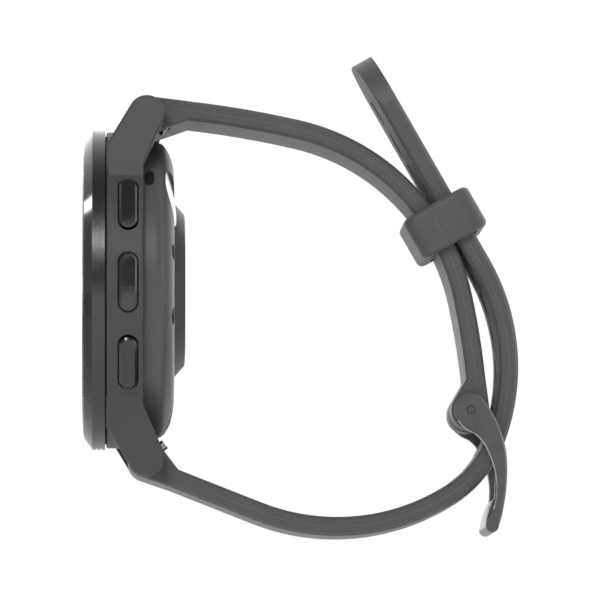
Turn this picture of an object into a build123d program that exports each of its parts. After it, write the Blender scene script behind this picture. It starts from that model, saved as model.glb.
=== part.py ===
from build123d import *
from math import atan2, cos, degrees, radians, sin, sqrt
import os

# Round golf GPS watch with its two-piece silicone strap buckled into a loop.
# Millimetres. X points to 3 o'clock, Z to 12 o'clock, and the dial faces -Y.
# The origin is the centre of the flat sensor window that rests on the wrist,
# so every case piece lies at negative y and the strap loop at positive y.

# ---------------------------------------------------------------- case sizes
case_diameter = 46.6
bezel_diameter = 47.0
cover_diameter = 43.6
window_rise = 1.6            # sensor window above the back
cover_depth = 4.6            # back of the cover to the rear edge of the mid case
case_height = 5.4            # side band of the mid case
bezel_gap = 0.2              # shadow line between mid case and bezel
bezel_side = 1.85            # straight side of the bezel
bezel_chamfer_height = 1.2
bezel_chamfer_width = 1.6
glass_dome = 0.55            # rise of the glass above the bezel lip
glass_thickness = 1.3
case_wall = 1.6
cover_wall = 1.2
fit_gap = 0.1                # clearance between nested case pieces
seal_thickness = 0.2

# ---------------------------------------------------------------- lug sizes
lug_gap = 22.2               # between the inner faces of a pair of lugs
lug_span = 50.4              # between the two spring bar axes
lug_tip_radius = 2.65
lug_tip_half_width = 14.0    # outer faces of a pair, at the tips
lug_root_half_width = 17.4   # the same, where they leave the round case
bar_depth = 5.7              # spring bar axis in front of the sensor window

# ---------------------------------------------------------------- button sizes
button_angles = {"upper": 30, "middle": 0, "lower": -30}
button_length = 8.4
button_width = 2.56
button_rim = 0.25            # clearance all round, in the recess
button_proud = 0.6
button_travel = 0.45
button_recess = 1.15
stem_radius = 0.75
stem_fit = 0.05
switch_radius = 17.7         # face of the switches, from the dial axis

# ---------------------------------------------------------------- strap sizes
strap_width = 21.8
strap_thickness = 3.1
strap_crown = 0.15
strap_side = 1.9             # height of the flat side edge of the band
lug_eye_radius = 2.7
buckle_eye_radius = 2.75
eye_swell = 0.05              # by which an eye stands proud of the band's crown
tip_radius = 9.4              # corners of the strap's free end
buckle_gap = 0.3             # between the two bands at the buckle
tail_length = 34.9           # straight free end
hole_length = 3.9
hole_width = 2.6
hole_pitch = 5.45
holes_below = 3              # spare holes on each side of the one in use
holes_above = 10

# Arcs of the band centre lines, as (radius, turn in degrees), from lug to end.
upper_heading = -4.0
upper_arcs = [(144.0, -8.9), (31.9, -65.0), (116.0, -8.3)]
lower_heading = -21.5
lower_first_turn = 53.7      # its radius and the straight before it close the loop
lower_arcs = [(15.9, 37.0), (30.3, 50.6)]
tight_bearing = 173.5        # from the buckle pin to the centre of the tight arc

# ---------------------------------------------------------------- buckle sizes
arm_thickness = 1.7
arm_head_radius = 2.4
arm_gap = 0.25               # between an arm and the side of the strap
frame_reach = 17.9           # buckle pin to the far edge of the crossbar
pin_radius = 0.75
pin_tip_radius = 0.5
pivot_fit = 0.05
tongue_width = 2.1
tongue_thickness = 1.1
tongue_angle = -54.0         # straight part of the tongue, through the hole
tongue_straight = 7.3
tongue_bend_radius = 2.0
tongue_bend = 38.0
tongue_end = 7.3
keeper_length = 6.6
keeper_wall = 1.8
keeper_side = 1.3            # wall beside the bands' edges
keeper_station = 7.9         # along the straight tail
keeper_clearance = 0.45      # on each side of the two bands

# ---------------------------------------------------------------- spring bars
bar_radius = 0.9
bar_bore = 0.62
bar_tip_radius = 0.5
bar_tip_reach = 1.2          # into each lug
bar_fit = 0.05
release_travel = 1.5
lever_radius = 0.35
lever_place = 7.5            # along the bar, from its middle
lever_side_angle = 50.0      # from straight down, towards the wrist

# mid case
seal_radius = 1.2
seal_height = 0.6
boss_depth = 3.4              # of the button boss, from the case side

# buttons
clip_thickness = 0.3
clip_bore = 0.5
clip_radius = 1.15

# inside the case
screw_circle = 17.9
screw_angles = (15, 165, 195, 345)
screw_radius = 0.6
screw_head_radius = 1.15
post_radius = 1.4
frame_thickness = 0.8
board_thickness = 0.8
battery_size = (23.0, 3.4, 20.0)

# case back
window_radius = 12.8
window_top_radius = 11.0
spigot_radius = 10.4
port_size = (9.2, 4.8)
port_z = -17.9
port_pocket = (7.6, 2.8)
vent_angle = 48
vent_circle = 17.2
vent_radius = 4.0
vent_tilt = 11.5
mesh_angle = 46
mesh_length = 3.1             # dark oval over the microphone
mesh_width = 1.25

# buckle and keeper
drawn_reach = 17.9            # arm length that the outlines below are drawn for

# ---------------------------------------------------------------- derived places
case_radius = case_diameter / 2
bezel_radius = bezel_diameter / 2
cover_radius = cover_diameter / 2
back_y = -window_rise
case_back_y = back_y - cover_depth
case_front_y = case_back_y - case_height
bezel_back_y = case_front_y - bezel_gap
bezel_shoulder_y = bezel_back_y - bezel_side
bezel_lip_y = bezel_shoulder_y - bezel_chamfer_height
glass_front_y = bezel_lip_y - glass_dome
glass_back_y = glass_front_y + glass_thickness
lip_radius = bezel_radius - bezel_chamfer_width
button_y = case_front_y + case_height * 0.59
bar_y = -bar_depth
bar_z = lug_span / 2


# ---------------------------------------------------------------- helpers
def turned(*corners):
    """Solid turned about the dial axis from (radius, y) corners."""
    outline = make_face(Polyline(*[(y, r) for r, y in corners], close=True))
    return revolve(Plane.YZ * outline, Axis.Y)


def ring(inner, outer, y_front, y_back):
    return turned((inner, y_front), (outer, y_front), (outer, y_back), (inner, y_back))


def disc(radius, y_front, y_back):
    return ring(0, radius, y_front, y_back)


def rod(radius, x_start, x_end, y, z):
    """Cylinder along X."""
    length = x_end - x_start
    return Pos((x_start + x_end) / 2, y, z) * Rot(0, 90, 0) * Cylinder(radius, length)


def block(size, centre):
    return Pos(*centre) * Box(*size)


def polar(radius, angle, y):
    return (radius * cos(radians(angle)), y, radius * sin(radians(angle)))


def radial_plane(radius, angle, y):
    """Plane facing outwards on the case side: x upwards, y towards the dial."""
    a = radians(angle)
    return Plane(polar(radius, angle, y), x_dir=(-sin(a), 0, cos(a)), z_dir=(cos(a), 0, sin(a)))


def side_extrude(sketch, half_width):
    """Extrude a sketch drawn in (y, z) to both sides of the middle plane."""
    return extrude(Plane.YZ * sketch, amount=half_width, both=True)


def direction(angle):
    return Vector(cos(radians(angle)), sin(radians(angle)))


def coil(mean_radius, wire_radius, length, turns):
    """Helical spring along +Z from its own base."""
    path = Helix(length / turns, length, mean_radius)
    section = Plane(path @ 0, z_dir=path % 0) * Circle(wire_radius)
    return sweep(section, path=path)


# ---------------------------------------------------------------- case front
def glass_outline(radius, y_edge):
    """Front of the glass: a nearly flat dome with a rounded edge, as (y, r)."""
    flat_radius = radius - 2.4
    edge_y = glass_front_y + glass_dome * 0.27
    dome = Spline((glass_front_y, 0), (edge_y, flat_radius), (y_edge, radius),
                  tangents=[(0, 1), (0.8, 1)])
    return dome


def cover_glass():
    radius = lip_radius - fit_gap
    front = glass_outline(radius, bezel_lip_y + 0.05)
    sides = Polyline(front @ 1, (glass_back_y, radius), (glass_back_y, 0), (glass_front_y, 0))
    return revolve(Plane.YZ * make_face(front + sides), Axis.Y)


ledge_y = glass_back_y + 0.12
ledge_inner = lip_radius - 1.5
skirt_outer = case_radius - case_wall - fit_gap
skirt_y = bezel_back_y + 1.5


def bezel_ring():
    body = turned(
        (ledge_inner, ledge_y), (lip_radius, ledge_y), (lip_radius, bezel_lip_y),
        (bezel_radius, bezel_shoulder_y), (bezel_radius, bezel_back_y),
        (skirt_outer, bezel_back_y), (skirt_outer, skirt_y), (ledge_inner, skirt_y))
    groove_depth = 0.15
    groove_width = 0.2
    for share in (0.26, 0.6):
        y = bezel_back_y - bezel_side * share
        body -= ring(bezel_radius - groove_depth, bezel_radius + 1, y - groove_width, y)
    return body


def glass_gasket():
    return ring(ledge_inner + 0.1, lip_radius - 0.2, glass_back_y, ledge_y)


def bezel_gasket():
    return ring(skirt_outer + 0.2, case_radius - 0.6, bezel_back_y, case_front_y)


display_radius = ledge_inner - 0.4
display_y = ledge_y + 1.15


def display_module():
    panel = disc(display_radius, glass_back_y + 0.05, display_y - 0.25)
    frame = disc(display_radius - 0.6, display_y - 0.25, display_y)
    return panel + frame


# ---------------------------------------------------------------- mid case
gasket_y = case_back_y - 1.0          # seat of the rear gasket
ledge_radius = cover_radius - 1.6
inner_wall = case_radius - case_wall


def lug_profile():
    """Side view of a lug, in (y, z), tapering from the side band to its round tip."""
    root_z = case_radius * 0.55
    shoulder_z = case_radius * 0.75
    tip = Pos(bar_y, bar_z) * Circle(lug_tip_radius)
    neck = make_face(Polyline(
        (case_front_y, shoulder_z), (case_front_y, case_radius * 0.88),
        (case_back_y, shoulder_z), close=True))
    root = make_face(Polyline(
        (case_front_y, root_z), (case_front_y, case_radius * 0.88),
        (case_back_y, shoulder_z), (case_back_y, root_z), close=True))
    return make_hull(tip.edges() + neck.edges()) + root


def lug():
    """Upper lug on the 3 o'clock side."""
    inner = lug_gap / 2
    tip_z = bar_z + lug_tip_radius + 1
    root_z = case_radius * 0.62
    plan = Plane.XZ * make_face(Polyline(
        (inner, root_z), (lug_root_half_width, root_z),
        (lug_tip_half_width, tip_z), (inner, tip_z), close=True))
    body = side_extrude(lug_profile(), 30) & extrude(plan, amount=30, both=True)
    outer = body.faces().sort_by(Axis.X)[-1]
    return chamfer(outer.edges().filter_by(lambda e: e.center().Z > case_radius * 0.7), 0.35)


def button_cut(angle):
    """Recess, stem bore and seal chamber of one button."""
    plane = radial_plane(case_radius, angle, button_y)
    recess = plane * Pos(0, 0, -button_recess) * extrude(
        SlotOverall(button_length + 2 * button_rim, button_width + 2 * button_rim), amount=4)
    bore = plane * Pos(0, 0, -2.5) * Cylinder(stem_radius + stem_fit, 5)
    chamber = plane * Pos(0, 0, -seal_chamber_top) * Cylinder(
        seal_radius, 5, align=(Align.CENTER, Align.CENTER, Align.MAX))
    return recess + bore + chamber


seal_chamber_top = button_recess + 0.5


def mid_case():
    band = ring(inner_wall, case_radius, case_front_y, case_back_y)
    band = fillet(band.edges().filter_by(GeomType.CIRCLE).group_by(SortBy.RADIUS)[-1], 0.3)
    band += ring(ledge_radius, inner_wall + 0.2, gasket_y - 0.8, gasket_y)
    one = lug()
    pair = one + mirror(one, Plane.YZ)
    band += pair + mirror(pair, Plane.XY)
    band -= disc(ledge_radius, case_front_y - 1, case_back_y + 1)
    band -= disc(skirt_outer + fit_gap, case_front_y - 3, gasket_y - 0.8)
    for angle in button_angles.values():
        plane = radial_plane(case_radius, angle, button_y)
        band += plane * Pos(0, 0, -(1.0 + boss_depth) / 2) * Box(5.2, 3.3, boss_depth - 1.0)
    band -= disc(cover_radius + fit_gap, gasket_y, case_back_y + 4)
    for angle in button_angles.values():
        band -= button_cut(angle)
    for side in (1, -1):
        band -= rod(lug_eye_radius + 0.35, -lug_gap / 2, lug_gap / 2, bar_y, side * bar_z)
        reach = lug_gap / 2 + bar_tip_reach + 0.2
        band -= rod(bar_tip_radius + bar_fit, -reach, reach, bar_y, side * bar_z)
    return band


# ---------------------------------------------------------------- buttons
def button_cap(angle):
    """Pill-shaped cap that follows the case's curve, with its stem."""
    plane = radial_plane(case_radius, angle, button_y)
    underside = button_recess - button_travel - fit_gap
    cap = plane * Pos(0, 0, -underside) * extrude(
        SlotOverall(button_length, button_width), amount=underside + button_proud + 1)
    cap &= Rot(90, 0, 0) * Cylinder(case_radius + button_proud, 60)
    top = cap.faces().filter_by(GeomType.CYLINDER).sort_by(
        lambda f: -f.area)[0]
    cap = chamfer(top.edges(), 0.28)
    stem_end = case_radius - switch_radius - 1.1
    stem = plane * Pos(0, 0, -underside) * Cylinder(
        stem_radius, stem_end - underside, align=(Align.CENTER, Align.CENTER, Align.MAX))
    groove = plane * Pos(0, 0, -boss_depth - 0.05) * (
        Cylinder(2, clip_thickness, align=(Align.CENTER, Align.CENTER, Align.MAX))
        - Cylinder(clip_bore, clip_thickness, align=(Align.CENTER, Align.CENTER, Align.MAX)))
    return cap + stem - groove


def button_clip(angle):
    """Open retaining clip snapped into the stem's groove, inside the case."""
    plane = radial_plane(case_radius, angle, button_y)
    body = Cylinder(clip_radius, clip_thickness) - Cylinder(clip_bore, clip_thickness)
    body -= Pos(1, 0, 0) * Box(2, 2 * clip_bore * 0.8, clip_thickness)
    return plane * Pos(0, 0, -boss_depth - 0.05 - clip_thickness / 2) * body


def button_spring(angle):
    """Return spring between the clip and the switch."""
    plane = radial_plane(switch_radius, angle, button_y)
    wire = 0.09
    top = case_radius - boss_depth - 0.1 - clip_thickness - switch_radius
    return plane * Pos(0, 0, wire) * coil(0.95, wire, top - 2 * wire, 4)


def at_buttons(make):
    """The same small solid at each of the three buttons, as one group."""
    return Compound([make(angle) for angle in button_angles.values()])


def button_seal(angle):
    plane = radial_plane(case_radius, angle, button_y)
    body = Cylinder(seal_radius - 0.02, seal_height) - Cylinder(stem_radius + 0.02, seal_height)
    return plane * Pos(0, 0, -seal_chamber_top - 0.05 - seal_height / 2) * body


def button_bush(angle):
    plane = radial_plane(case_radius, angle, button_y)
    top = seal_chamber_top + 0.1 + seal_height
    length = boss_depth - top
    body = Cylinder(seal_radius - 0.01, length) - Cylinder(stem_radius + stem_fit, length)
    return plane * Pos(0, 0, -top - length / 2) * body


def button_switch(angle):
    plane = radial_plane(switch_radius, angle, button_y)
    base = Pos(0, 0, -0.2) * Box(3.0, 2.4, 0.4)
    dome = Cylinder(0.65, 0.5, align=(Align.CENTER, Align.CENTER, Align.MIN))
    return plane * (base + dome)


# ---------------------------------------------------------------- inside the case
frame_y = display_y + 0.1             # front of the inner frame
post_end_y = case_back_y - 0.9


def inner_frame():
    """Carrier disc with four screw posts and three switch brackets."""
    body = disc(display_radius, frame_y, frame_y + frame_thickness)
    body -= block((9, 4, 3), (0, frame_y, -display_radius + 3))
    for angle in screw_angles:
        x, _, z = polar(screw_circle, angle, 0)
        length = post_end_y - frame_y
        body += Pos(x, frame_y + length / 2, z) * Rot(90, 0, 0) * Cylinder(post_radius, length)
    for angle in button_angles.values():
        plane = radial_plane(switch_radius - 0.4, angle, button_y)
        height = button_y + 1.2 - frame_y - frame_thickness / 2
        body += plane * Pos(0, height / 2 - 1.2, -0.25) * Box(3.0, height, 0.5)
    for angle in screw_angles:
        x, _, z = polar(screw_circle, angle, 0)
        body -= Pos(x, post_end_y - 1.8, z) * Rot(90, 0, 0) * Cylinder(screw_radius, 3.6)
    return body


board_y = frame_y + frame_thickness + 0.15
board_radius = screw_circle - post_radius - 0.3


def main_board():
    body = disc(board_radius, board_y, board_y + board_thickness)
    body -= block((9, 3, 3), (0, board_y, -board_radius))
    return body


def board_shields():
    y = board_y + board_thickness + 0.5
    big = block((13, 1.0, 10), (-3.5, y, 4.5))
    small = block((9, 1.0, 7), (4.5, y, -6.5))
    return Compound([big, small])


def antenna_band():
    """Thin metal antenna round the 12, 9 and 6 o'clock side of the frame."""
    body = ring(display_radius - 0.45, display_radius - 0.15,
                frame_y + frame_thickness + 0.02, skirt_y + 0.3)
    return body - block((20, 20, 60), (14, frame_y, 0))


battery_y = board_y + board_thickness + 1.2


def battery():
    return fillet(
        block(battery_size, (0, battery_y + battery_size[1] / 2, 0)).edges().filter_by(Axis.Y), 1.5)


def vibration_motor():
    can = Pos(-15.6, battery_y + 1.35, 0) * Rot(90, 0, 0) * Cylinder(3.2, 2.7)
    return fillet(can.edges().filter_by(GeomType.CIRCLE), 0.3)


def speaker():
    body = block((10, 3.0, 5.0), (0, battery_y + 1.0, -14.2))
    return fillet(body.edges().filter_by(Axis.Y), 0.8)


# ---------------------------------------------------------------- case back
def bowl(radius, y_front, y_back, flat_radius, corner):
    """Bowl-shaped solid: straight side, rounded corner, gently domed back."""
    side = Line((y_front, radius), (y_back - 2.8, radius))
    curve = Spline((y_back - 2.8, radius), (y_back - 1.15, radius - corner),
                   (y_back, flat_radius), tangents=[(1, 0), (0.02, -1)])
    rest = Polyline((y_back, flat_radius), (y_back, 0), (y_front, 0), (y_front, radius))
    return revolve(Plane.YZ * make_face(side + curve + rest), Axis.Y)


cover_front_y = gasket_y + seal_thickness
mesh_y = case_back_y + 0.85


def vent_plane(depth):
    """Tilted seat of the vent disc, this deep under the back's surface."""
    a = radians(vent_angle)
    t = radians(vent_tilt)
    normal = Vector(sin(t) * cos(a), cos(t), sin(t) * sin(a))
    return Plane(Vector(*polar(vent_circle, vent_angle, back_y - 0.42)) - normal * depth,
                 z_dir=normal)


def port_prism(extra, y_front):
    """Upright rounded block of the charging port's outline, widened by extra."""
    width, height = port_size
    shape = block((width + 2 * extra, 8, height + 2 * extra), (0, y_front + 4, port_z))
    return fillet(shape.edges().filter_by(Axis.Y), 1.0)


def screw_place(angle):
    x, _, z = polar(screw_circle, angle, 0)
    return x, z


screw_seat_y = back_y - 1.7


def rear_cover():
    body = bowl(cover_radius, cover_front_y, back_y, window_radius, 1.1)
    inner = bowl(cover_radius - cover_wall, cover_front_y - 1, back_y - cover_wall,
                 window_radius, 1.1)
    shell = body - inner
    for angle in screw_angles:
        x, z = screw_place(angle)
        length = back_y - 0.8 - post_end_y - 0.05
        shell += Pos(x, post_end_y + 0.05 + length / 2, z) * Rot(90, 0, 0) * Cylinder(1.9, length)
    shell += vent_plane(0.8) * Cylinder(
        vent_radius + 0.9, 1.2, align=(Align.CENTER, Align.CENTER, Align.MAX))
    shell &= body
    shell -= vent_plane(0.5) * Cylinder(
        vent_radius + 0.06, 3, align=(Align.CENTER, Align.CENTER, Align.MIN))
    shell -= disc(spigot_radius + fit_gap, cover_front_y, 1)
    shell -= port_prism(fit_gap, back_y - 3.6)
    for angle in screw_angles:
        x, z = screw_place(angle)
        shell -= Pos(x, screw_seat_y + 2, z) * Rot(90, 0, 0) * Cylinder(screw_head_radius + 0.1, 4)
        shell -= Pos(x, screw_seat_y - 2, z) * Rot(90, 0, 0) * Cylinder(screw_radius + 0.1, 8)
    plane = radial_plane(cover_radius, mesh_angle, mesh_y)
    shell -= plane * extrude(SlotOverall(mesh_length + 0.1, mesh_width + 0.1), amount=2, both=True)
    return shell


def rear_gasket():
    return ring(ledge_radius + 0.1, cover_radius - 0.1, gasket_y, cover_front_y)


def rear_screw(angle):
    """Small pan-head screw with a star recess."""
    x, z = screw_place(angle)
    head = Cylinder(screw_head_radius, 0.7, align=(Align.CENTER, Align.CENTER, Align.MIN))
    head = chamfer(head.edges().group_by(Axis.Z)[-1], 0.15)
    shank = Cylinder(screw_radius - 0.02, 6.0, align=(Align.CENTER, Align.CENTER, Align.MAX))
    recess = Pos(0, 0, 0.7) * Box(0.9, 0.28, 0.7)
    cross = recess + Rot(0, 0, 60) * recess + Rot(0, 0, 120) * recess
    return Pos(x, screw_seat_y, z) * Rot(-90, 0, 0) * (head + shank - cross)


def sensor_window():
    """Raised window with a conical side and a spigot through the cover."""
    cone = turned((0, back_y), (window_radius, back_y), (window_top_radius + 0.25, -0.25),
                  (window_top_radius, -0.06), (window_top_radius - 0.25, 0), (0, 0))
    return cone + disc(spigot_radius, back_y - cover_wall - 0.1, back_y)


sensor_board_y = back_y - 3.0


def sensor_board():
    return disc(9.5, sensor_board_y, sensor_board_y + 0.6)


def sensor_leds():
    """Light sources in the middle and light detectors round them."""
    y = sensor_board_y + 0.85
    chips = [block((2.0, 0.5, 1.4), (x, y, 0)) for x in (-1.3, 1.3)]
    chips += [block((1.8, 0.5, 1.8), polar(6.2, 30 + 60 * n, y)) for n in range(6)]
    return Compound(chips)


def light_baffle():
    """Opaque ring that keeps the sources' light off the detectors."""
    return ring(3.6, 4.1, sensor_board_y + 0.6, back_y - cover_wall - 0.15)


def charging_port():
    """Insert with the contact pocket, trimmed to the curve of the back."""
    body = port_prism(0, back_y - 3.6)
    body &= bowl(cover_radius, cover_front_y, back_y, window_radius, 1.1)
    pocket = block((port_pocket[0], 6, port_pocket[1]), (0, back_y - 2.6 + 3, port_z))
    return body - fillet(pocket.edges().filter_by(Axis.Y), 0.6)


def charging_contacts():
    """Four spring-loaded contacts standing in the pocket."""
    pins = []
    for n in range(4):
        x = (n - 1.5) * 1.75
        pin = Cylinder(0.45, 1.4) + Pos(0, 0, -0.5) * Cylinder(0.6, 0.4)
        pins.append(Pos(x, back_y - 2.6 + 0.6, port_z) * Rot(-90, 0, 0) * Pos(0, 0, 0.1) * pin)
    return Compound(pins)


def vent_disc():
    """Flat metal disc let into the back, over the pressure vent."""
    body = Cylinder(vent_radius, 0.35, align=(Align.CENTER, Align.CENTER, Align.MAX))
    return vent_plane(0.14) * body


def microphone_mesh():
    """Dark oval insert over the microphone, in the side of the rear cover."""
    plane = radial_plane(cover_radius - 0.35, mesh_angle, mesh_y)
    return plane * extrude(SlotOverall(mesh_length, mesh_width), amount=-0.6)


# ---------------------------------------------------------------- strap paths
def arc_after(path_end, heading, radius, turn):
    return JernArc(path_end, direction(heading), radius, turn)


def inner_normal(heading, side):
    """Unit vector from the band towards the wrist; side is 1 for upper, -1 for lower."""
    return direction(heading - 90 * side)


upper_offset = lug_eye_radius - strap_thickness / 2
buckle_offset = buckle_eye_radius - strap_thickness / 2


def upper_path():
    start = Vector(bar_y, bar_z) - inner_normal(upper_heading, 1) * upper_offset
    heading = upper_heading
    pieces = []
    for radius, turn in upper_arcs:
        pieces.append(arc_after(start, heading, radius, turn))
        start = pieces[-1] @ 1
        heading += turn
    return pieces, heading


upper_pieces, upper_end_heading = upper_path()
buckle_pin_place = (upper_pieces[-1] @ 1) + inner_normal(upper_end_heading, 1) * buckle_offset
pin_y = buckle_pin_place.X
pin_z = buckle_pin_place.Y


def lower_path():
    """Lug, straight, wrist arc, tight arc round the buckle pin, long arc, straight tail.

    The tight arc's centre is set by the gap to the buckle eye; the straight and the
    wrist arc's radius are then solved so that the band meets it.
    """
    start = Vector(bar_y, -bar_z) - inner_normal(lower_heading, -1) * upper_offset
    tight_radius = lower_arcs[0][0]
    middle_heading = lower_heading + lower_first_turn
    centre = Vector(pin_y, pin_z) + direction(tight_bearing) * (
        tight_radius - strap_thickness / 2 - buckle_gap - buckle_eye_radius)
    meeting = centre + direction(middle_heading - 90) * tight_radius
    gap = meeting - start
    run = direction(lower_heading)
    bow = direction(middle_heading - 90) - direction(lower_heading - 90)
    scale = run.X * bow.Y - run.Y * bow.X
    straight = (gap.X * bow.Y - gap.Y * bow.X) / scale
    radius = (run.X * gap.Y - run.Y * gap.X) / scale
    pieces = [Line(start, start + run * straight)]
    heading = lower_heading
    for arc_radius, turn in [(radius, lower_first_turn)] + lower_arcs:
        pieces.append(arc_after(pieces[-1] @ 1, heading, arc_radius, turn))
        heading += turn
    pieces.append(Line(pieces[-1] @ 1, (pieces[-1] @ 1) + direction(heading) * tail_length))
    return pieces, centre, heading


lower_pieces, tight_centre, tail_heading = lower_path()


def place_path(pieces):
    return Wire([Plane.YZ * piece for piece in pieces])


def band_section(width):
    """Crowned band: thickest in the middle, with bevelled edges and flat sides."""
    half = width / 2
    mid = strap_thickness / 2
    edge = mid - strap_crown
    bevel = 0.55
    side = strap_side / 2
    outer = ThreePointArc((-half + bevel, edge), (0, mid), (half - bevel, edge))
    inner = ThreePointArc((half - bevel, -edge), (0, -mid), (-half + bevel, -edge))
    right = Polyline((half - bevel, edge), (half, side), (half, -side), (half - bevel, -edge))
    left = Polyline((-half + bevel, -edge), (-half, -side), (-half, side), (-half + bevel, edge))
    return make_face(outer + right + inner + left)


def band(pieces):
    path = place_path(pieces)
    start = path.position_at(0)
    section = Plane(start, x_dir=(1, 0, 0), z_dir=path.tangent_at(0)) * band_section(strap_width)
    return sweep(section, path=path)


def eye(centre, radius, neck_point):
    """Round end of a band about its pivot, blended into the band by a hull."""
    near = Pos(*centre) * Circle(radius + eye_swell)
    far = Pos(neck_point.X, neck_point.Y) * Circle(strap_thickness / 2 - strap_crown)
    body = side_extrude(make_hull(near.edges() + far.edges()), strap_width / 2)
    ends = body.faces().filter_by(Axis.X)
    return chamfer(ends.edges(), 0.3)


def lever_direction(side):
    """Unit vector, in (y, z), of the release lever of the bar on this side."""
    a = radians(lever_side_angle)
    return Vector(sin(a), -side * cos(a))


def lever_cut(side):
    """Pocket through which the release lever reaches out of the strap's eye."""
    d = lever_direction(side)
    length = lug_eye_radius + 2
    x_low = lever_place - release_travel - lever_radius - 0.6
    x_high = lever_place + lever_radius + 0.6
    body = Box(x_high - x_low, 1.9, length, align=(Align.CENTER, Align.CENTER, Align.MIN))
    plane = Plane(((x_low + x_high) / 2, bar_y, side * bar_z), x_dir=(1, 0, 0),
                  z_dir=(0, d.X, d.Y))
    return plane * body


def upper_strap():
    body = band(upper_pieces)
    body += eye((bar_y, bar_z), lug_eye_radius, upper_pieces[0] @ 0.26)
    body += eye((pin_y, pin_z), buckle_eye_radius, upper_pieces[-1] @ 0.75)
    reach = buckle_eye_radius + 1.4
    body -= rod(bar_radius + bar_fit, -20, 20, bar_y, bar_z)
    body -= rod(pin_radius + pivot_fit, -20, 20, pin_y, pin_z)
    slot = Pos(0, pin_y, pin_z) * Box(tongue_width + 0.5, 2 * reach, 2 * reach)
    body -= slot
    body -= lever_cut(1)
    return body


def path_place(pieces, distance):
    """Point and heading on a chain of curves at a distance from its start."""
    for piece in pieces:
        if distance <= piece.length:
            break
        distance -= piece.length
    share = min(distance / piece.length, 1)
    tangent = piece % share
    return piece @ share, degrees(atan2(tangent.Y, tangent.X))


def hole_station():
    """Distance along the lower band to the hole that the tongue is in."""
    d = direction(tongue_angle)
    offset = Vector(pin_y, pin_z) - tight_centre
    along = offset.X * d.X + offset.Y * d.Y
    radius = lower_arcs[0][0]
    step = -along + sqrt(along ** 2 - offset.length ** 2 + radius ** 2)
    crossing = offset + d * step
    turned_by = degrees(atan2(crossing.Y, crossing.X)) + 90 - lower_heading - lower_first_turn
    return lower_pieces[0].length + lower_pieces[1].length + radians(turned_by) * radius


def hole_cut(distance):
    place, heading = path_place(lower_pieces, distance)
    t = direction(heading)
    n = direction(heading - 90)
    plane = Plane((0, place.X, place.Y), x_dir=(0, t.X, t.Y), z_dir=(0, n.X, n.Y))
    slot = extrude(RectangleRounded(hole_length, hole_width, 0.7), amount=4, both=True)
    return plane * slot


def tip_trim():
    """What the rounded tip leaves of the straight tail's end."""
    end = lower_pieces[-1] @ 1
    n = direction(tail_heading - 90)
    plane = Plane((0, end.X, end.Y), x_dir=(1, 0, 0), z_dir=(0, n.X, n.Y))
    kept = Pos(0, 15) * RectangleRounded(strap_width + 0.4, 30, tip_radius)
    square = Pos(0, 6) * Rectangle(strap_width + 4, 13)
    return plane * extrude(square - kept, amount=4, both=True)


def lower_strap():
    body = band(lower_pieces)
    body += eye((bar_y, -bar_z), lug_eye_radius, lower_pieces[0] @ 0.25)
    body -= rod(bar_radius + bar_fit, -20, 20, bar_y, -bar_z)
    used = hole_station()
    for n in range(-holes_below, holes_above + 1):
        body -= hole_cut(used + n * hole_pitch)
    body -= lever_cut(-1)
    return body - tip_trim()


# ---------------------------------------------------------------- spring bars
bar_end = lug_gap / 2 - 0.5


def bar_slot(side):
    d = lever_direction(side)
    x_low = lever_place - release_travel - lever_radius - 0.1
    x_high = lever_place + lever_radius + 0.1
    plane = Plane(((x_low + x_high) / 2, bar_y, side * bar_z), x_dir=(1, 0, 0),
                  z_dir=(0, d.X, d.Y))
    return plane * Box(x_high - x_low, 2 * lever_radius + 0.15, 2,
                       align=(Align.CENTER, Align.CENTER, Align.MIN))


def bar_tube(side):
    """Tube with one fixed tip, open at the other end, slotted for the lever."""
    z = side * bar_z
    body = rod(bar_radius, -bar_end, bar_end, bar_y, z)
    body -= rod(bar_bore, -bar_end + 3, bar_end + 1, bar_y, z)
    body += rod(bar_tip_radius, -lug_gap / 2 - bar_tip_reach, -bar_end, bar_y, z)
    return body - bar_slot(side)


def release_pin(side):
    """Sliding tip with its shoulder and the small lever that retracts it."""
    z = side * bar_z
    d = lever_direction(side)
    body = rod(bar_tip_radius, lever_place - 1.2, lug_gap / 2 + bar_tip_reach, bar_y, z)
    body += rod(bar_bore - 0.04, lever_place - 1.2, lever_place + 1.2, bar_y, z)
    plane = Plane((lever_place, bar_y, z), x_dir=(1, 0, 0), z_dir=(0, d.X, d.Y))
    body += plane * Cylinder(lever_radius, lug_eye_radius + 0.3,
                             align=(Align.CENTER, Align.CENTER, Align.MIN))
    knob = Pos(0, 0, lug_eye_radius + 0.1) * Cylinder(
        0.75, 0.7, align=(Align.CENTER, Align.CENTER, Align.MIN))
    return body + plane * knob


def release_spring(side):
    wire = 0.07
    x_low = -bar_end + 3.1
    length = lever_place - 1.3 - x_low - 2 * wire
    body = coil(bar_bore - 0.12, wire, length, 16)
    return Pos(x_low + wire, bar_y, side * bar_z) * Rot(0, 90, 0) * body


# ---------------------------------------------------------------- buckle and keeper
arm_inner = strap_width / 2 + arm_gap
arm_outer = arm_inner + arm_thickness
reach_scale = frame_reach / drawn_reach


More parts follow.
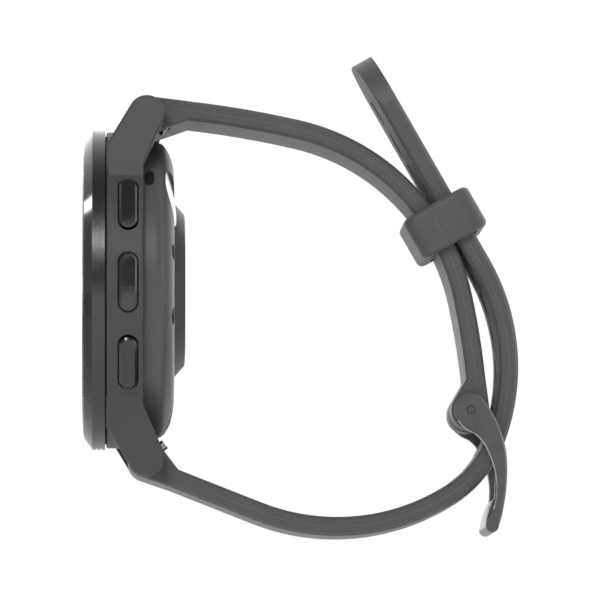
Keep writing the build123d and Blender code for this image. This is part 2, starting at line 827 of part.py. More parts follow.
def arm_outline():
    """Side view of a buckle arm, with the pin at (0, 0): round head, curved taper."""
    k = reach_scale
    shoulder = ThreePointArc((1.5, 1.86), (4.1 * k, -2.4 * k), (5.25 * k, -7.2 * k))
    outer = ThreePointArc((5.25 * k, -7.2 * k), (5.1 * k, -12.0 * k), (4.05 * k, -17.0 * k))
    toe = ThreePointArc((4.05 * k, -17.0 * k), (3.05 * k, -17.9 * k), (2.15 * k, -17.0 * k))
    hook = ThreePointArc((2.15 * k, -17.0 * k), (2.6 * k, -15.7 * k), (3.3 * k, -14.6 * k))
    back = ThreePointArc((3.3 * k, -14.6 * k), (3.75 * k, -11.2 * k), (3.3 * k, -8.1 * k))
    neck = ThreePointArc((3.3 * k, -8.1 * k), (1.95 * k, -4.95 * k), (0.4, -3.4))
    throat = ThreePointArc((0.4, -3.4), (-1.0, -2.6), (-1.85, -1.53))
    head = ThreePointArc((-1.85, -1.53), (-1.7, 1.7), (1.5, 1.86))
    return make_face(shoulder + outer + toe + hook + back + neck + throat + head)


def crossbar_outline():
    """Bowed bar joining the arms: the last part of the arm's own side view."""
    k = reach_scale
    outer = ThreePointArc((4.9 * k, -13.4 * k), (4.6 * k, -15.2 * k), (4.05 * k, -17.0 * k))
    toe = ThreePointArc((4.05 * k, -17.0 * k), (3.05 * k, -17.9 * k), (2.15 * k, -17.0 * k))
    back = ThreePointArc((2.15 * k, -17.0 * k), (2.55 * k, -15.0 * k), (3.4 * k, -13.0 * k))
    top = ThreePointArc((3.4 * k, -13.0 * k), (4.25 * k, -12.7 * k), (4.9 * k, -13.4 * k))
    return make_face(outer + toe + back + top)


def tongue_path():
    start = Vector(pin_y, pin_z)
    run = Line(start, start + direction(tongue_angle) * tongue_straight)
    bend = arc_after(run @ 1, tongue_angle, tongue_bend_radius, -tongue_bend)
    end_heading = tongue_angle - tongue_bend
    tail = Line(bend @ 1, (bend @ 1) + direction(end_heading) * tongue_end)
    return [run, bend, tail]


def tongue_blade(width, thickness, extra):
    """Blade of the tongue, widened and thickened for a clearance cut when needed."""
    path = place_path(tongue_path())
    start = path.position_at(0)
    section = Plane(start, x_dir=(1, 0, 0), z_dir=path.tangent_at(0)) * Rectangle(
        width + extra, thickness + extra)
    return sweep(section, path=path)


def buckle_frame():
    arm = side_extrude(Pos(pin_y, pin_z) * arm_outline(), arm_outer)
    sides = arm.faces().filter_by(Axis.X).edges()
    below_head = sides.filter_by(lambda e: e.length > 7.5 and e.center().Z < pin_z)
    arm = chamfer(below_head, 0.25)
    arm -= block((2 * arm_inner, 60, 60), (0, pin_y, pin_z))
    bar = side_extrude(Pos(pin_y, pin_z) * crossbar_outline(), arm_inner + 0.4)
    body = arm + bar
    body -= rod(pin_tip_radius + pivot_fit, -20, 20, pin_y, pin_z)
    for side in (1, -1):
        recess = Pos(side * arm_outer, pin_y, pin_z) * Rot(0, 90, 0) * Cylinder(0.7, 0.9)
        body -= recess
    notch = tongue_blade(tongue_width, tongue_thickness, 0.2)
    away = Pos(0, 1.2, 0) * notch
    return body - notch - away


def buckle_tongue():
    body = tongue_blade(tongue_width, tongue_thickness, 0)
    body += rod(1.5, -tongue_width / 2, tongue_width / 2, pin_y, pin_z)
    return body - rod(pin_radius + pivot_fit, -5, 5, pin_y, pin_z)


def buckle_pin():
    shoulder = strap_width / 2
    tip = arm_outer - 0.12
    body = rod(pin_radius, -shoulder, shoulder, pin_y, pin_z)
    return body + rod(pin_tip_radius, -tip, tip, pin_y, pin_z)


def keeper_loop():
    """Free rubber loop round both bands, centred between their middle lines."""
    place = lower_pieces[-1] @ (keeper_station / tail_length)
    opposite = Wire(upper_pieces).closest_points(place)[0]
    stack = (place - opposite).length + strap_thickness
    centre = (place + opposite) / 2
    t = direction(tail_heading)
    plane = Plane((0, centre.X, centre.Y), x_dir=(1, 0, 0), z_dir=(0, t.X, t.Y))
    inner_x = strap_width + 2 * keeper_clearance
    inner_y = stack + 2 * keeper_clearance
    outline = RectangleRounded(inner_x + 2 * keeper_side, inner_y + 2 * keeper_wall, 2.4)
    outline -= RectangleRounded(inner_x, inner_y, 0.8)
    body = extrude(outline, amount=keeper_length / 2, both=True)
    for end in (-1, 0):
        body = fillet(body.faces().sort_by(Axis.Z)[end].outer_wire().edges(), 0.9)
    return plane * body


# ---------------------------------------------------------------- write the nodes
def all_nodes():
    nodes = {
        "cover_glass": cover_glass(),
        "glass_gasket": glass_gasket(),
        "bezel_ring": bezel_ring(),
        "bezel_gasket": bezel_gasket(),
        "display_module": display_module(),
        "mid_case": mid_case(),
        "inner_frame": inner_frame(),
        "antenna_band": antenna_band(),
        "main_board": main_board(),
        "board_shields": board_shields(),
        "battery": battery(),
        "vibration_motor": vibration_motor(),
        "speaker": speaker(),
        "button_seals": at_buttons(button_seal),
        "button_bushes": at_buttons(button_bush),
        "button_switches": at_buttons(button_switch),
        "rear_cover": rear_cover(),
        "rear_gasket": rear_gasket(),
        "rear_screws": Compound([rear_screw(angle) for angle in screw_angles]),
        "sensor_window": sensor_window(),
        "sensor_board": sensor_board(),
        "sensor_leds": sensor_leds(),
        "light_baffle": light_baffle(),
        "charging_port": charging_port(),
        "charging_contacts": charging_contacts(),
        "vent_disc": vent_disc(),
        "microphone_mesh": microphone_mesh(),
        "upper_strap": upper_strap(),
        "lower_strap": lower_strap(),
        "keeper_loop": keeper_loop(),
        "buckle_frame": buckle_frame(),
        "buckle_tongue": buckle_tongue(),
        "buckle_pin": buckle_pin(),
    }
    for name, angle in button_angles.items():
        nodes[name + "_button"] = button_cap(angle)
        nodes[name + "_button_clip"] = button_clip(angle)
        nodes[name + "_button_spring"] = button_spring(angle)
    for name, side in (("upper", 1), ("lower", -1)):
        nodes[name + "_bar_tube"] = bar_tube(side)
        nodes[name + "_release_pin"] = release_pin(side)
        nodes[name + "_release_spring"] = release_spring(side)
    return nodes


os.makedirs("parts", exist_ok=True)
for name, shape in all_nodes().items():
    export_step(shape, "parts/" + name + ".step")
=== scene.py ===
"""Looks of the GPS golf watch: materials, moulding details, the dial, light and camera."""

from math import cos, pi, radians, sin

import bmesh
import bpy
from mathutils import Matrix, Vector


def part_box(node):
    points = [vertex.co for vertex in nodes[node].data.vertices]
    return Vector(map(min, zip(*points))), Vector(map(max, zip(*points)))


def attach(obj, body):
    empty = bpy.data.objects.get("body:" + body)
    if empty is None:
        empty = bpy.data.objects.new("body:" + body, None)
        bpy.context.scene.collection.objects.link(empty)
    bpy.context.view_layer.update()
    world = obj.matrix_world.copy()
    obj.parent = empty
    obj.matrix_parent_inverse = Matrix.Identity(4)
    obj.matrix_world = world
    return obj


MM = 0.001

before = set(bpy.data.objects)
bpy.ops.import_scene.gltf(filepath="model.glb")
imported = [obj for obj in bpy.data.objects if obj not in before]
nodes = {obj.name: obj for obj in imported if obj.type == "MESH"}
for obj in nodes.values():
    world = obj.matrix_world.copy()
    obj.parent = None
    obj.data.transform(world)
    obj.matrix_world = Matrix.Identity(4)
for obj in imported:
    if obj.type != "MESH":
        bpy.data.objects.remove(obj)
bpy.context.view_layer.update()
scene = bpy.context.scene


# ---------------------------------------------------------------- materials
def grey(value, warmth=0.0):
    return (value * (1 + warmth), value, value * (1 - warmth), 1.0)


class Finish:
    """A principled material whose colour, roughness and relief come from noise."""

    def __init__(self, name, **uniform):
        self.material = bpy.data.materials.new(name)
        self.material.use_nodes = True
        self.tree = self.material.node_tree
        self.shader = self.tree.nodes["Principled BSDF"]
        for socket, value in uniform.items():
            self.shader.inputs[socket.replace("_", " ")].default_value = value
        self.place = self.tree.nodes.new("ShaderNodeTexCoord").outputs["Object"]
        self.normal = None

    def link(self, source, target):
        self.tree.links.new(source, target)

    def stretched(self, stretch):
        mapping = self.tree.nodes.new("ShaderNodeMapping")
        mapping.inputs["Scale"].default_value = stretch
        self.link(self.place, mapping.inputs["Vector"])
        return mapping.outputs["Vector"]

    def noise(self, size, stretch=(1, 1, 1), detail=3.0):
        """Noise whose features are about size across, in metres."""
        node = self.tree.nodes.new("ShaderNodeTexNoise")
        node.inputs["Scale"].default_value = 1 / size
        node.inputs["Detail"].default_value = detail
        self.link(self.stretched(stretch), node.inputs["Vector"])
        return node.outputs["Fac"]

    def scaled(self, source, low, high, from_low=0.3, from_high=0.7):
        node = self.tree.nodes.new("ShaderNodeMapRange")
        node.inputs["From Min"].default_value = from_low
        node.inputs["From Max"].default_value = from_high
        node.inputs["To Min"].default_value = low
        node.inputs["To Max"].default_value = high
        self.link(source, node.inputs["Value"])
        return node.outputs["Result"]

    def beyond(self, axis, edge, soft=0.02 * MM):
        """0 before and 1 after a plane across the named axis, in the row frame."""
        split = self.tree.nodes.new("ShaderNodeSeparateXYZ")
        self.link(self.place, split.inputs["Vector"])
        return self.scaled(split.outputs[axis], 0, 1, edge - soft, edge + soft)

    def mixed(self, mask, first, second):
        """first where the mask is 0 and second where it is 1."""
        return self.scaled(mask, first, second, 0, 1)

    def times(self, a, b):
        node = self.tree.nodes.new("ShaderNodeMath")
        node.operation = "MULTIPLY"
        self.link(a, node.inputs[0])
        self.link(b, node.inputs[1])
        return node.outputs["Value"]

    def colour(self, source, dark, light, low=0.3, high=0.7):
        """Colour that runs from dark to light as the source goes from low to high."""
        ramp = self.tree.nodes.new("ShaderNodeValToRGB")
        ramp.color_ramp.elements[0].position = low
        ramp.color_ramp.elements[0].color = dark
        ramp.color_ramp.elements[1].position = high
        ramp.color_ramp.elements[1].color = light
        self.link(source, ramp.inputs["Fac"])
        self.link(ramp.outputs["Color"], self.shader.inputs["Base Color"])
        return self

    def roughness(self, source, low, high):
        self.link(self.scaled(source, low, high), self.shader.inputs["Roughness"])
        return self

    def bump(self, source, depth, strength=1.0):
        node = self.tree.nodes.new("ShaderNodeBump")
        node.inputs["Strength"].default_value = strength
        node.inputs["Distance"].default_value = depth
        self.link(source, node.inputs["Height"])
        if self.normal:
            self.link(self.normal, node.inputs["Normal"])
        self.normal = node.outputs["Normal"]
        self.link(self.normal, self.shader.inputs["Normal"])
        return self


def moulded(name, tone, spread, rough, grain, depth, warmth=0.0, **uniform):
    """Moulded plastic or rubber: cloudy tone, fine spark-eroded grain."""
    f = Finish(name, **uniform)
    cloud = f.noise(6 * MM)
    fine = f.noise(grain, detail=4.0)
    f.colour(cloud, grey(tone * (1 - spread), warmth), grey(tone * (1 + spread), warmth))
    f.roughness(fine, rough - 0.05, rough + 0.07)
    return f.bump(fine, depth).material


def brushed(name, tone, rough, stretch, depth, spread=0.12, warmth=0.0, **uniform):
    """Metal brushed or turned along the directions that stretch leaves long."""
    f = Finish(name, Metallic=1.0, **uniform)
    lines = f.noise(0.5 * MM, stretch, 5.0)
    f.colour(lines, grey(tone * (1 - spread), warmth), grey(tone * (1 + spread), warmth))
    f.roughness(f.noise(2 * MM), rough - 0.04, rough + 0.06)
    return f.bump(lines, depth).material


def polished(name, tone, rough, warmth=0.0, **uniform):
    """Smooth metal or glass with a faint orange peel and handling haze."""
    f = Finish(name, **uniform)
    haze = f.noise(3 * MM)
    f.colour(haze, grey(tone * 0.94, warmth), grey(tone * 1.06, warmth))
    f.roughness(haze, rough, rough + 0.04)
    return f.bump(f.noise(0.6 * MM), 0.6e-6).material


def coloured(name, dark, light, rough, size, depth, metallic=0.0):
    """A tinted part, mottled between two colours."""
    f = Finish(name, Metallic=metallic)
    spots = f.noise(size)
    f.colour(spots, (*dark, 1), (*light, 1))
    f.roughness(spots, rough - 0.05, rough + 0.05)
    return f.bump(f.noise(0.15 * MM), depth).material


case_plastic = moulded("case_plastic", 0.063, 0.05, 0.50, 0.12 * MM, 3e-6)
cover_plastic = moulded("cover_plastic", 0.095, 0.05, 0.42, 0.12 * MM, 3e-6)
silicone = moulded("silicone_rubber", 0.090, 0.06, 0.52, 0.10 * MM, 4e-6,
                   Sheen_Weight=0.15, Sheen_Roughness=0.5)
seal_rubber = moulded("seal_rubber", 0.012, 0.1, 0.6, 0.1 * MM, 3e-6)
frame_plastic = moulded("frame_plastic", 0.03, 0.1, 0.5, 0.15 * MM, 4e-6)
buckle_metal = brushed("buckle_brushed", 0.18, 0.33, (1, 14, 2), 1.5e-6)
button_metal = brushed("button_brushed", 0.07, 0.20, (1, 14, 1), 1.2e-6, Coat_Weight=0.5)
plain_steel = brushed("turned_steel", 0.45, 0.28, (12, 1, 1), 1.5e-6)
screw_steel = polished("screw_steel", 0.20, 0.25, Metallic=1.0)
motor_steel = polished("motor_steel", 0.55, 0.25, Metallic=1.0)
shield_tin = polished("shield_tin", 0.62, 0.32, Metallic=1.0)
vent_steel = brushed("vent_steel", 0.62, 0.30, (10, 1, 10), 1e-6)
port_plastic = moulded("port_plastic", 0.02, 0.1, 0.45, 0.12 * MM, 3e-6)
mesh_weave = moulded("mesh_weave", 0.006, 0.2, 0.7, 0.08 * MM, 6e-6)
gold = polished("contact_gold", 0.62, 0.22, 0.25, Metallic=1.0)
led_white = polished("led_epoxy", 0.75, 0.30)
display_black = polished("display_black", 0.006, 0.12)
board_green = coloured("board_green", (0.005, 0.05, 0.02), (0.01, 0.08, 0.03),
                       0.45, 1.5 * MM, 2e-6)
battery_foil = coloured("battery_foil", (0.42, 0.43, 0.45), (0.5, 0.51, 0.53),
                        0.35, 3 * MM, 4e-6, 0.9)
antenna_copper = coloured("antenna_copper", (0.6, 0.3, 0.17), (0.68, 0.36, 0.2),
                          0.3, 2 * MM, 1e-6, 1.0)


def bezel_finish(shoulder_y):
    """Brushed gunmetal side, and a nearly black polished chamfer in front of the shoulder."""
    f = Finish("bezel_gunmetal", Metallic=1.0)
    side = f.beyond("Y", shoulder_y)
    lines = f.noise(0.5 * MM, (1, 30, 1), 5.0)
    shade = f.times(f.scaled(lines, 0.85, 1.15), f.mixed(side, 0.045, 0.10))
    f.colour(shade, grey(0.0), grey(1.0), 0.0, 1.0)
    rough = f.times(f.scaled(f.noise(2 * MM), 0.9, 1.2), f.mixed(side, 0.07, 0.27))
    f.link(rough, f.shader.inputs["Roughness"])
    return f.bump(f.times(lines, side), 1.5e-6).material


def window_finish(face_y):
    """Black glass on the flat face of the sensor window, moulded grey round its side."""
    f = Finish("sensor_window_black")
    face = f.beyond("Y", face_y - 0.12 * MM)
    tone = f.times(f.scaled(f.noise(3 * MM), 0.95, 1.05), f.mixed(face, 0.075, 0.006))
    f.colour(tone, grey(0.0), grey(1.0), 0.0, 1.0)
    rough = f.times(f.scaled(f.noise(0.5 * MM), 0.9, 1.15), f.mixed(face, 0.42, 0.07))
    f.link(rough, f.shader.inputs["Roughness"])
    return f.bump(f.noise(0.15 * MM), 1e-6).material


def clear_glass():
    f = Finish("cover_glass", Transmission_Weight=1.0, IOR=1.5, Coat_Weight=0.6)
    haze = f.noise(8 * MM)
    f.colour(haze, grey(0.90), grey(0.95))
    f.roughness(haze, 0.01, 0.03)
    return f.bump(f.noise(1.2 * MM), 0.2e-6).material


finishes = {
    "cover_glass": clear_glass(),
    "bezel_ring": bezel_finish(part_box("bezel_ring")[1][1] - 3.35 * MM),
    "mid_case": case_plastic,
    "rear_cover": cover_plastic,
    "upper_strap": silicone,
    "lower_strap": silicone,
    "keeper_loop": silicone,
    "buckle_frame": buckle_metal,
    "buckle_tongue": buckle_metal,
    "buckle_pin": screw_steel,
    "display_module": display_black,
    "inner_frame": frame_plastic,
    "light_baffle": frame_plastic,
    "antenna_band": antenna_copper,
    "main_board": board_green,
    "sensor_board": board_green,
    "board_shields": shield_tin,
    "battery": battery_foil,
    "vibration_motor": motor_steel,
    "speaker": motor_steel,
    "button_bushes": motor_steel,
    "button_switches": frame_plastic,
    "rear_screws": screw_steel,
    "sensor_window": window_finish(0.0),
    "sensor_leds": led_white,
    "charging_port": port_plastic,
    "charging_contacts": gold,
    "vent_disc": vent_steel,
    "microphone_mesh": mesh_weave,
}
for kind, finish in (("gasket", seal_rubber), ("seals", seal_rubber), ("_button", button_metal),
                     ("_clip", plain_steel), ("_spring", plain_steel), ("_tube", plain_steel),
                     ("_pin", plain_steel)):
    for name in nodes:
        if name.endswith(kind) and name not in finishes:
            finishes[name] = finish

for name, finish in finishes.items():
    for place in nodes[name].material_slots:
        place.material = finish


# ---------------------------------------------------------------- moulding lines of the straps, coloured lighter than the strap as a painted highlight
strap_half_width = 10.9 * MM
strap_thickness = 3.1 * MM
lug_eye_radius = 2.7 * MM
buckle_eye_radius = 2.75 * MM
band_gap = 0.3 * MM                    # between the bands, at the buckle
upper_heading = -4.0
upper_arcs = ((144 * MM, -8.9), (31.9 * MM, -65.0), (116 * MM, -8.3))
lower_heading = -21.5
lower_first_turn = 53.7
tight_radius = 15.9 * MM
tight_turn = 37.0
tight_bearing = 173.5                  # from the buckle pin to the tight arc's centre
long_radius = 30.3 * MM
long_turn = 50.6
tail_length = 34.9 * MM
line_radius = 0.06 * MM
line_sink = 0.01 * MM                  # of a moulding line into the strap's side
lug_end_gap = 3.2 * MM                 # of a moulding line from the ends of its band
buckle_end_gap = 3.0 * MM
tip_gap = 9.0 * MM
keeper_half = 3.2 * MM
keeper_line_offset = 1.2 * MM          # from the keeper's middle, towards the upper band


def direction(angle):
    a = radians(angle)
    return Vector((cos(a), sin(a)))


def centre_of(node):
    low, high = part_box(node)
    return Vector(((low[1] + high[1]) / 2, (low[2] + high[2]) / 2))


class Trail:
    """Middle line of a band in (y, z), grown from straights and arcs."""

    def __init__(self, start, heading):
        self.points = [start]
        self.heading = heading

    def straight(self, length):
        self.points.append(self.points[-1] + direction(self.heading) * length)
        return self

    def arc(self, radius, turn, steps=36):
        side = 90 if turn > 0 else -90
        centre = self.points[-1] + direction(self.heading + side) * radius
        for n in range(1, steps + 1):
            along = self.heading - side + turn * n / steps
            self.points.append(centre + direction(along) * radius)
        self.heading += turn
        return self


def upper_trail():
    offset = lug_eye_radius - strap_thickness / 2
    start = centre_of("upper_bar_tube") - direction(upper_heading - 90) * offset
    trail = Trail(start, upper_heading)
    for radius, turn in upper_arcs:
        trail.arc(radius, turn)
    return trail


def lower_trail():
    """Straight and wrist arc are solved so that the band meets the tight arc at the buckle."""
    offset = lug_eye_radius - strap_thickness / 2
    start = centre_of("lower_bar_tube") - direction(lower_heading + 90) * offset
    middle_heading = lower_heading + lower_first_turn
    reach = tight_radius - strap_thickness / 2 - band_gap - buckle_eye_radius
    tight_centre = centre_of("buckle_pin") + direction(tight_bearing) * reach
    gap = tight_centre + direction(middle_heading - 90) * tight_radius - start
    run = direction(lower_heading)
    bow = direction(middle_heading - 90) - direction(lower_heading - 90)
    scale = run.x * bow.y - run.y * bow.x
    length = (gap.x * bow.y - gap.y * bow.x) / scale
    radius = (run.x * gap.y - run.y * gap.x) / scale
    trail = Trail(start, lower_heading).straight(length).arc(radius, lower_first_turn)
    trail.arc(tight_radius, tight_turn).arc(long_radius, long_turn)
    return trail.straight(tail_length)


def without_ends(points, first, last):
    """The polyline less a length at each end."""
    for _ in range(2):
        while (points[1] - points[0]).length < first:
            first -= (points[1] - points[0]).length
            points = points[1:]
        points = [points[0] + (points[1] - points[0]).normalized() * first] + points[1:]
        points = points[::-1]
        first = last
    return points


def raised_line(name, points, x, body, radius, finish):
    """Fine round ridge along a path in (y, z) at this x, closed at its ends."""
    sides = 8
    mesh = bmesh.new()
    rings = []
    for n, point in enumerate(points):
        along = (points[min(n + 1, len(points) - 1)] - points[max(n - 1, 0)]).normalized()
        across = Vector((0, -along.y, along.x))
        rings.append([mesh.verts.new(
            Vector((x, point.x, point.y)) + radius * (
                Vector((1, 0, 0)) * cos(2 * pi * k / sides) + across * sin(2 * pi * k / sides)))
            for k in range(sides)])
    for first, second in zip(rings, rings[1:]):
        for k in range(sides):
            mesh.faces.new((first[k], first[(k + 1) % sides],
                            second[(k + 1) % sides], second[k]))
    mesh.faces.new(rings[0])
    mesh.faces.new(rings[-1])
    bmesh.ops.recalc_face_normals(mesh, faces=mesh.faces)
    data = bpy.data.meshes.new(name)
    mesh.to_mesh(data)
    mesh.free()
    data.shade_smooth()
    line = bpy.data.objects.new(name, data)
    scene.collection.objects.link(line)
    data.materials.append(finish)
    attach(line, body)


# painted highlight: the ridges are the straps' own silicone, drawn lighter to show the bright line
# along them
parting_highlight_silicone = moulded("parting_highlight_silicone", 0.16, 0.08, 0.45, 0.2 * MM, 2e-6)
upper = upper_trail()
lower = lower_trail()
tail = direction(lower.heading)
keeper_middle = centre_of("keeper_loop")
keeper_low, keeper_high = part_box("keeper_loop")
keeper_line = keeper_middle + direction(lower.heading + 90) * keeper_line_offset
for side, word in ((1, "near"), (-1, "far")):
    x = side * (strap_half_width - line_sink)
    raised_line("upper_parting_" + word, without_ends(upper.points, lug_end_gap, buckle_end_gap), x,
                "watch", line_radius, parting_highlight_silicone)
    raised_line("lower_parting_" + word, without_ends(lower.points, lug_end_gap, tip_gap), x,
                "watch", line_radius, parting_highlight_silicone)
    edge = keeper_high[0] if side > 0 else keeper_low[0]
    ends = [keeper_line - tail * keeper_half, keeper_line + tail * keeper_half]
    raised_line("keeper_parting_" + word, ends, edge, "keeper_loop", line_radius,
                parting_highlight_silicone)


# ---------------------------------------------------------------- painted highlight: bright bead along the buckle's inner edge
def through(start, middle, end, steps=10):
    """Smooth curve through three points, with its ends."""
    control = middle * 2 - (start + end) / 2
    return [start * (1 - t) ** 2 + control * 2 * t * (1 - t) + end * t ** 2
            for t in (n / steps for n in range(steps + 1))]


buckle_pin_place = centre_of("buckle_pin")
buckle_low, buckle_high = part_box("buckle_frame")
arm_edge = [Vector(p) * MM for p in ((-1.85, -1.53), (-1.0, -2.6), (0.4, -3.4), (1.95, -4.95),
                                     (3.3, -8.1), (3.75, -11.2), (3.3, -14.6))]
edge_points = (through(*arm_edge[0:3]) + through(*arm_edge[2:5])[1:]
               + through(*arm_edge[4:7])[1:])
# painted highlight: a thin polished bead on the edge, made far lighter than the brushed frame to
# stand in for the bright line along it
buckle_highlight_steel = polished("buckle_edge_highlight", 0.62, 0.10, Metallic=1.0)
for side, word in ((buckle_high[0], "near"), (buckle_low[0], "far")):
    raised_line("buckle_highlight_bead_" + word, [buckle_pin_place + p for p in edge_points],
                side * 0.9985, "buckle_frame", 0.09 * MM, buckle_highlight_steel)


# ---------------------------------------------------------------- dial under the glass
def flat_piece(name, outline, depth, y, finish, hole=None):
    """Thin plate facing the wearer: outline points in (x, z), front face at y."""
    mesh = bmesh.new()
    rim = [mesh.verts.new((x, y, z)) for x, z in outline]
    if hole:
        inner = [mesh.verts.new((x, y, z)) for x, z in hole]
        count = len(rim)
        faces = [mesh.faces.new((rim[n], rim[(n + 1) % count], inner[(n + 1) % count], inner[n]))
                 for n in range(count)]
    else:
        faces = [mesh.faces.new(rim)]
    grown = bmesh.ops.extrude_face_region(mesh, geom=faces)
    moved = [v for v in grown["geom"] if isinstance(v, bmesh.types.BMVert)]
    bmesh.ops.translate(mesh, verts=moved, vec=(0, depth, 0))
    bmesh.ops.recalc_face_normals(mesh, faces=mesh.faces)
    data = bpy.data.meshes.new(name)
    mesh.to_mesh(data)
    mesh.free()
    plate = bpy.data.objects.new(name, data)
    scene.collection.objects.link(plate)
    data.materials.append(finish)
    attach(plate, "watch")
    return plate


def circle(radius, count=96, squash=1.0, centre=(0, 0)):
    return [(centre[0] + radius * cos(2 * pi * n / count),
             centre[1] + radius * squash * sin(2 * pi * n / count)) for n in range(count)]


def wavy(radius, squash, waves, swell, centre):
    """Rounded free-form outline, like a fairway or a bunker on a course map."""
    points = []
    for n in range(72):
        a = 2 * pi * n / 72
        r = radius * (1 + swell * sin(waves * a + 1.0))
        points.append((centre[0] + r * cos(a), centre[1] + r * squash * sin(a)))
    return points


def lit(name, dark, light, glow):
    """Display pixels: a mottled colour that also shines a little."""
    f = Finish(name, Emission_Strength=glow)
    f.colour(f.noise(0.5 * MM), (*dark, 1), (*light, 1))
    f.shader.inputs["Emission Color"].default_value = (*light, 1)
    f.roughness(f.noise(0.3 * MM), 0.4, 0.5)
    return f.bump(f.noise(0.1 * MM), 0.5e-6).material


display_low, display_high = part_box("display_module")
dial_y = display_low[1]
dial_radius = (display_high[0] - display_low[0]) / 2 - 0.9 * MM
layer = 0.02 * MM
rough_green = lit("lit_rough", (0.01, 0.06, 0.015), (0.015, 0.09, 0.02), 0.25)
fairway_green = lit("lit_fairway", (0.06, 0.30, 0.05), (0.08, 0.38, 0.07), 0.35)
putting_green = lit("lit_green", (0.20, 0.60, 0.15), (0.26, 0.70, 0.20), 0.4)
sand = lit("lit_sand", (0.72, 0.60, 0.35), (0.80, 0.68, 0.42), 0.4)
lit_white = lit("lit_white", (0.80, 0.80, 0.80), (0.9, 0.9, 0.9), 0.6)

flat_piece("dial_course", circle(dial_radius), layer, dial_y - 2 * layer, rough_green)
flat_piece("dial_fairway", wavy(2.6 * MM, 3.4, 2, 0.16, (1.0 * MM, -1.0 * MM)), layer,
           dial_y - 3.2 * layer, fairway_green)
flat_piece("dial_green", wavy(2.0 * MM, 0.9, 3, 0.08, (1.6 * MM, 7.6 * MM)), layer,
           dial_y - 4.4 * layer, putting_green)
for number, place in enumerate(((-2.6, 6.0), (5.4, 8.8), (5.2, -2.4))):
    centre = (place[0] * MM, place[1] * MM)
    flat_piece("dial_bunker_%d" % number, wavy(0.9 * MM, 0.7, 3, 0.15, centre), layer,
               dial_y - 4.4 * layer, sand)
tick_outer = dial_radius - 0.4 * MM
for n in range(60):
    a = 2 * pi * n / 60
    long = 1.5 * MM if n % 5 == 0 else 0.8 * MM
    half = 0.12 * MM if n % 5 == 0 else 0.06 * MM
    outward = Vector((cos(a), sin(a)))
    across = Vector((-sin(a), cos(a))) * half
    corners = [outward * tick_outer + across, outward * tick_outer - across,
               outward * (tick_outer - long) - across, outward * (tick_outer - long) + across]
    flat_piece("dial_tick_%02d" % n, [tuple(c) for c in corners], layer,
               dial_y - 3.2 * layer, lit_white)


def dial_number(name, text, size, x, z):
    data = bpy.data.curves.new(name, "FONT")
    data.body = text
    data.size = size
    data.align_x = "CENTER"
    data.align_y = "CENTER"
    data.extrude = layer / 2
    data.materials.append(lit_white)
    label = bpy.data.objects.new(name, data)
    label.rotation_euler = (pi / 2, 0, 0)
    label.location = (x, dial_y - 5.5 * layer, z)
    scene.collection.objects.link(label)
    bpy.context.view_layer.update()
    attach(label, "watch")


dial_number("dial_middle_distance", "142", 4.6 * MM, -7.6 * MM, 0.0)
dial_number("dial_back_distance", "151", 2.4 * MM, -8.2 * MM, 5.0 * MM)
dial_number("dial_front_distance", "133", 2.4 * MM, -8.2 * MM, -5.0 * MM)
dial_number("dial_par", "4", 3.0 * MM, 11.0 * MM, 0.0)


# ---------------------------------------------------------------- light, floor, camera
def area_light(name, power, size, place, target, shape_ratio=1.0):
    data = bpy.data.lights.new(name, "AREA")
    data.shape = "RECTANGLE"
    data.size = size
    data.size_y = size * shape_ratio
    data.energy = power
    light = bpy.data.objects.new(name, data)
    light.location = place
    light.rotation_euler = (Vector(target) - Vector(place)).to_track_quat("-Z", "Y").to_euler()
    scene.collection.objects.link(light)


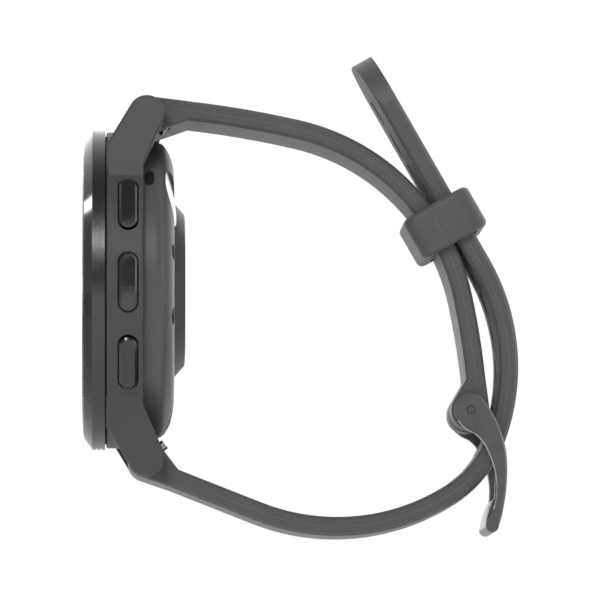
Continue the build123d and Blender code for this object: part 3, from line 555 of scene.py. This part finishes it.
def studio_world(seen, bright_side, dark_side):
    """White to the eye; as light, bright behind and below the watch, dim in front and left."""
    world = bpy.data.worlds.new("studio")
    world.use_nodes = True
    tree = world.node_tree
    tree.nodes.clear()
    output = tree.nodes.new("ShaderNodeOutputWorld")
    place = tree.nodes.new("ShaderNodeTexCoord")
    towards = tree.nodes.new("ShaderNodeVectorMath")
    towards.operation = "DOT_PRODUCT"
    towards.inputs[1].default_value = (-0.75, 0.35, -0.55)
    ramp = tree.nodes.new("ShaderNodeMapRange")
    ramp.inputs["From Min"].default_value = -0.6
    ramp.inputs["From Max"].default_value = 0.6
    ramp.inputs["To Min"].default_value = dark_side
    ramp.inputs["To Max"].default_value = bright_side
    light = tree.nodes.new("ShaderNodeBackground")
    plain = tree.nodes.new("ShaderNodeBackground")
    plain.inputs["Strength"].default_value = seen
    path = tree.nodes.new("ShaderNodeLightPath")
    mix = tree.nodes.new("ShaderNodeMixShader")
    tree.links.new(place.outputs["Generated"], towards.inputs[0])
    tree.links.new(towards.outputs["Value"], ramp.inputs["Value"])
    tree.links.new(ramp.outputs["Result"], light.inputs["Strength"])
    light.inputs["Color"].default_value = (1, 1, 1, 1)
    plain.inputs["Color"].default_value = (1, 1, 1, 1)
    tree.links.new(path.outputs["Is Camera Ray"], mix.inputs["Fac"])
    tree.links.new(light.outputs["Background"], mix.inputs[1])
    tree.links.new(plain.outputs["Background"], mix.inputs[2])
    tree.links.new(mix.outputs["Shader"], output.inputs["Surface"])
    scene.world = world


def pale_floor(height, half):
    mesh = bpy.data.meshes.new("floor")
    corners = [(-half, -half, height), (half, -half, height),
               (half, half, height), (-half, half, height)]
    mesh.from_pydata(corners, [], [(0, 1, 2, 3)])
    floor = bpy.data.objects.new("floor", mesh)
    scene.collection.objects.link(floor)
    f = Finish("floor_paper")
    f.colour(f.noise(0.2), grey(0.93), grey(0.97))
    f.roughness(f.noise(0.05), 0.85, 0.95)
    mesh.materials.append(f.material)


studio_world(seen=1.0, bright_side=1.8, dark_side=0.22)
pale_floor(height=-0.100, half=30.0)
area_light("front_softbox", 7.0, 0.6, (1.1, -0.35, 0.75), (0, 0, 0), 0.5)
area_light("bezel_panel", 0.5, 0.08, (-0.47, -0.82, 0.36), (0, 0, 0), 1.6)
area_light("low_strip", 0.8, 0.5, (0.6, 0.2, -0.6), (0, 0.02, 0), 0.1)

camera_data = bpy.data.cameras.new("camera")
camera_data.lens = 525.5
camera_data.sensor_width = 36
camera_data.clip_start = 0.01
camera = bpy.data.objects.new("camera", camera_data)
camera.location = (1.290, -0.0081, -0.0696)
aim = Vector((0, 0.01694, -0.00138)) - camera.location
camera.rotation_euler = aim.to_track_quat("-Z", "Y").to_euler()
scene.collection.objects.link(camera)
scene.camera = camera
scene.view_settings.view_transform = "Standard"
